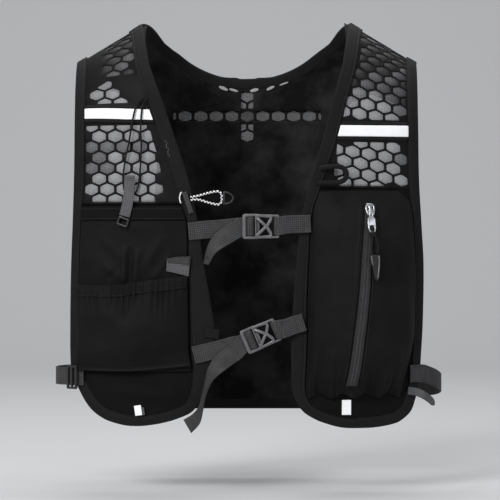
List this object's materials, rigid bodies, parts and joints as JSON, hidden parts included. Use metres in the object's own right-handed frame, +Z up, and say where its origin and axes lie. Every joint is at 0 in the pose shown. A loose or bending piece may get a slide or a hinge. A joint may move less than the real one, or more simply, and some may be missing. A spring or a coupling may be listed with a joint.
{
  "type": "running hydration vest",
  "caption": "Worn-form running vest with net shoulders, bottle, stash and zip pockets, chest straps with side-release hook buckles and side straps.",
  "frame": {"origin": "midway between the two shoulder tops, at their height, where the vest rests on the shoulders", "axes": "+X to the right as the front is looked at, -Y out of the front, +Z up"},
  "size_m": [0.3987, 0.1955, 0.4172],
  "materials": {
    "cloth": "matt black woven nylon",
    "net": "black ribbed hexagon net over fine mesh",
    "binding": "black folded edge binding and tape",
    "reflective": "silver-white reflective tape",
    "webbing": "dark grey woven webbing",
    "cord": "black braided elastic cord",
    "plastic": "moulded, fine satin",
    "metal": "brushed silver"
  },
  "bodies": {
    "root": {"front_panel_left": "cloth", "front_panel_right": "cloth", "back_panel": "cloth", "stash_pocket_left": "cloth", "bottle_pocket_left": "cloth", "zip_pocket_right": "cloth", "mesh_window_left": "net", "mesh_window_right": "net", "back_mesh_cross": "net", "front_binding_left": "binding", "front_binding_right": "binding", "arm_binding_left": "binding", "arm_binding_right": "binding", "reflective_carrier_left": "binding", "reflective_carrier_right": "binding", "back_neck_binding": "binding", "back_side_binding_left": "binding", "back_side_binding_right": "binding", "back_hem_binding": "binding", "stash_pocket_hem": "binding", "bottle_pocket_elastic": "binding", "zip_tape_right": "binding", "reflective_strip_left": "reflective", "reflective_strip_right": "reflective", "reflective_cord_loop": "reflective", "bottom_tab_left": "reflective", "bottom_tab_right": "reflective", "flask_strap_tab": "webbing", "elastic_keeper": "webbing", "webbing_fan_tab": "webbing", "strap_keeper_tab": "webbing", "upper_strap_left": "webbing", "upper_strap_right": "webbing", "lower_strap_left": "webbing", "lower_strap_right": "webbing", "side_strap_left": "webbing", "side_strap_right": "webbing", "side_strap_tail_right": "webbing", "puller_cord": "cord", "flask_loop_cord": "cord", "hose_loop_right": "cord", "puller_grip": "plastic", "flask_strap_ring": "plastic", "cord_end_hook": "plastic", "upper_buckle_ladder": "plastic", "upper_buckle_hook": "plastic", "lower_buckle_ladder": "plastic", "lower_buckle_hook": "plastic", "side_buckle_left": "plastic", "zip_slider": "metal", "zip_pull": "metal"}
  },
  "joints": []
}
